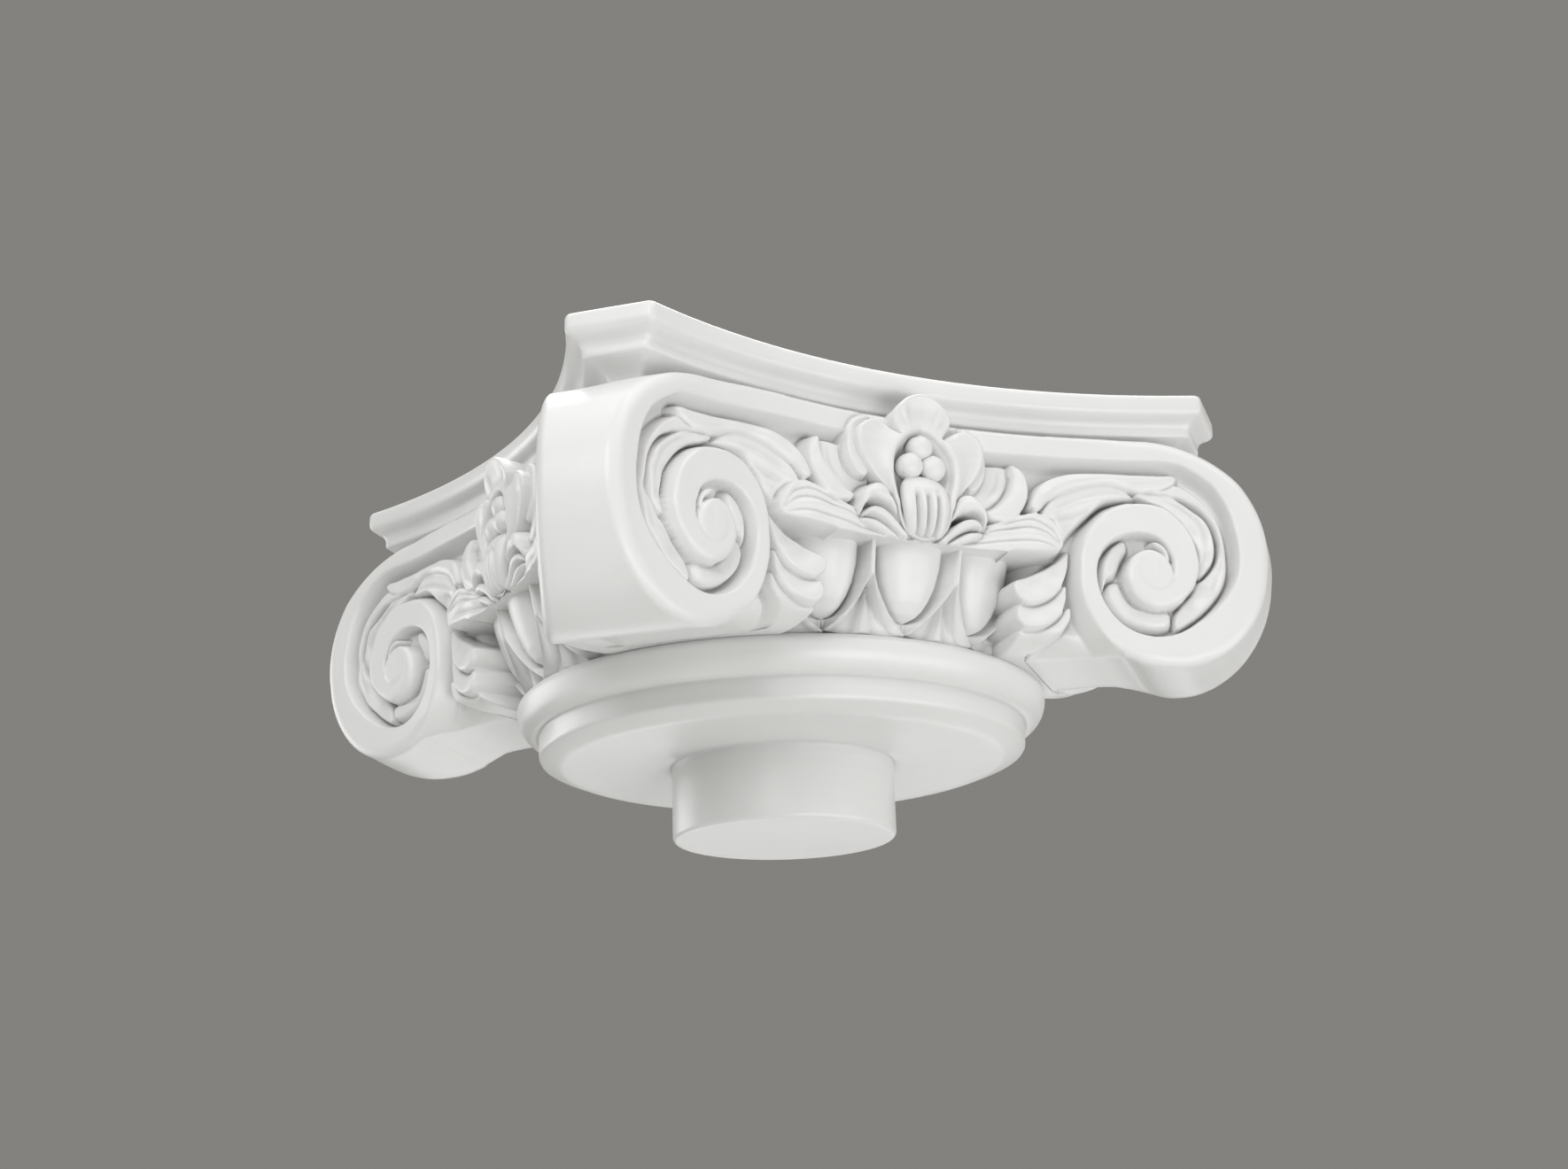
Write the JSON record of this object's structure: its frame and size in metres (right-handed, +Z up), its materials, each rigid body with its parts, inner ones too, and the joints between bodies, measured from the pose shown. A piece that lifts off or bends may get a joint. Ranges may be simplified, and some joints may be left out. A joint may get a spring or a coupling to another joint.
{
  "type": "column capital",
  "caption": "Angular Ionic capital with corner volutes, hollow-sided abacus, egg-and-dart, face fleurons, leaf carving and a round tenon below.",
  "frame": {"origin": "centre of the tenon's flat underside, on the capital's axis", "axes": "+Z up along the capital's axis; the four equal faces look along -Y, +X, +Y and -X"},
  "size_m": [0.3708, 0.3708, 0.1932],
  "materials": {
    "plaster": "satin white cast gypsum plaster"
  },
  "bodies": {
    "root": {"capital": "plaster"}
  },
  "joints": []
}
